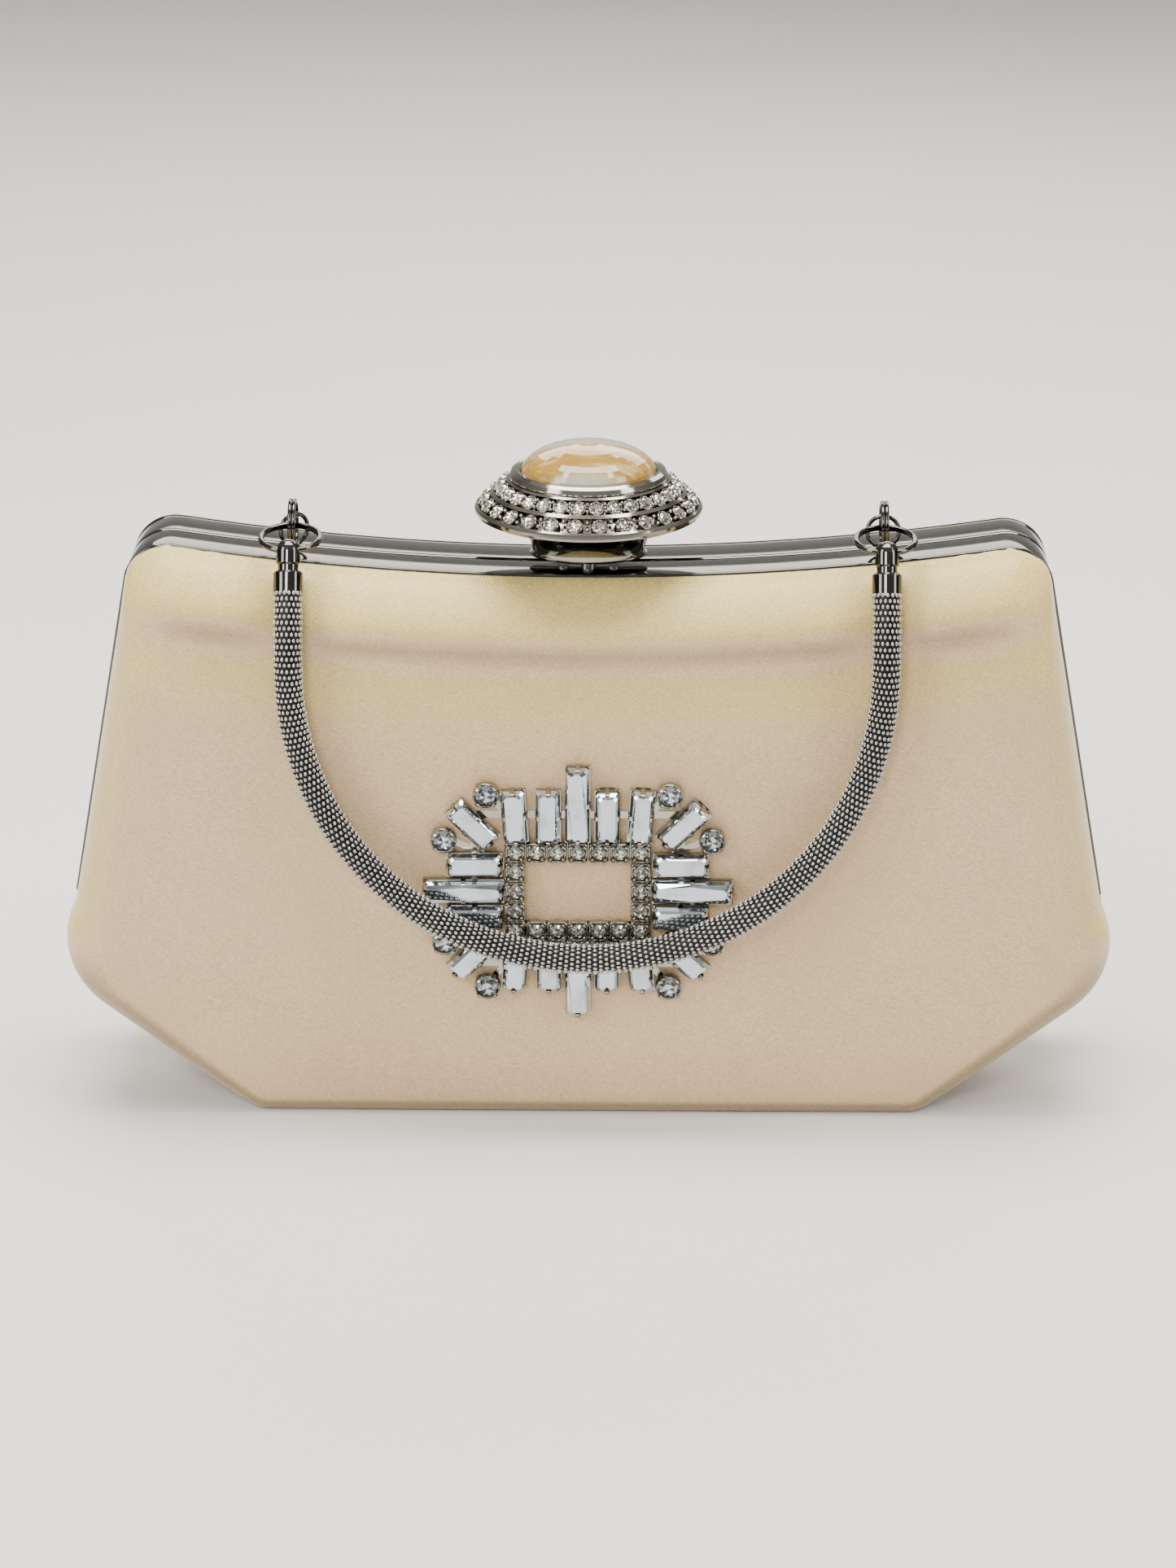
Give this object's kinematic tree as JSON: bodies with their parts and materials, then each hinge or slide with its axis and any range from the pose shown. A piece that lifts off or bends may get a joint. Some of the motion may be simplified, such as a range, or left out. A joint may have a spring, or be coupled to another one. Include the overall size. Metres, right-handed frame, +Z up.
{
  "type": "evening bag",
  "caption": "Satin frame clutch with a push knob clasp, a stone brooch on the front and a snake tube handle on rings.",
  "frame": {"origin": "on the table under the middle of the seam between the two halves", "axes": "+Z up, -Y towards the front with the brooch, X along the width"},
  "size_m": [0.2198, 0.0579, 0.1414],
  "materials": {
    "polished_metal": "polished silver plating",
    "snake_mesh": "beaded silver mesh",
    "satin": "champagne satin with a soft sheen",
    "lining": "matt champagne lining",
    "shell_board": "moulded board",
    "crystal": "cut and foiled",
    "cabochon_resin": "banded cream, high gloss",
    "setting_metal": "bright silver plating",
    "latch_steel": "plain pressed steel"
  },
  "bodies": {
    "front_half": {"front_frame": "polished_metal", "front_shell": "shell_board", "front_cover": "satin", "front_lining": "lining", "side_gusset_left": "lining", "side_gusset_right": "lining", "bottom_gusset": "satin", "hinge_rivet_left": "latch_steel", "hinge_rivet_right": "latch_steel", "latch_spring": "latch_steel", "latch_cage": "latch_steel", "cage_rivets": "latch_steel", "strap_loop_left": "polished_metal", "strap_loop_right": "polished_metal", "brooch_plate": "setting_metal", "brooch_cups": "setting_metal", "brooch_prongs": "setting_metal", "baguettes_long": "crystal", "baguettes_short": "crystal", "brooch_rounds": "crystal", "brooch_chatons": "crystal", "brooch_studs": "latch_steel", "brooch_washers": "latch_steel"},
    "back_half": {"back_frame": "polished_metal", "back_shell": "shell_board", "back_cover": "satin", "back_lining": "lining", "catch_plate": "latch_steel", "catch_rivets": "latch_steel"},
    "knob": {"knob_stem": "polished_metal", "knob_head": "polished_metal", "knob_bezel": "polished_metal", "cabochon": "cabochon_resin", "knob_stones_upper": "crystal", "knob_stones_lower": "crystal", "knob_rod": "latch_steel", "latch_hook": "latch_steel", "hook_nut": "latch_steel"},
    "split_links": {"split_ring_left": "polished_metal", "split_ring_right": "polished_metal"},
    "jump_links": {"jump_ring_left": "polished_metal", "jump_ring_right": "polished_metal"},
    "handle": {"end_cap_left": "polished_metal", "handle_tube": "snake_mesh", "end_cap_right": "polished_metal"}
  },
  "joints": [
    {"name": "bag_open", "type": "hinge", "parent": "front_half", "child": "back_half", "pos_m": [0, 0, 0.044], "axis": [-1, 0, 0], "range_deg": [0, 30], "deforming": ["side_gusset_left", "side_gusset_right", "bottom_gusset"]},
    {"name": "knob_press", "type": "slide", "parent": "front_half", "child": "knob", "axis": [0, 0, -1], "range_m": [0, 0.0012], "stiffness_N_per_m": 2000, "springref_m": -0.0015, "deforming": ["latch_spring"]},
    {"name": "split_swing", "type": "hinge", "parent": "front_half", "child": "split_links", "pos_m": [0, -0.0034, 0.12652], "axis": [-1, 0, 0], "range_deg": [0, 90]},
    {"name": "ring_swing", "type": "hinge", "parent": "split_links", "child": "jump_links", "pos_m": [0, -0.007, 0.12512], "axis": [-1, 0, 0], "range_deg": [0, 35]},
    {"name": "handle_swing", "type": "hinge", "parent": "jump_links", "child": "handle", "pos_m": [0, -0.01885, 0.12325], "axis": [-1, 0, 0], "range_deg": [0, 85]}
  ]
}
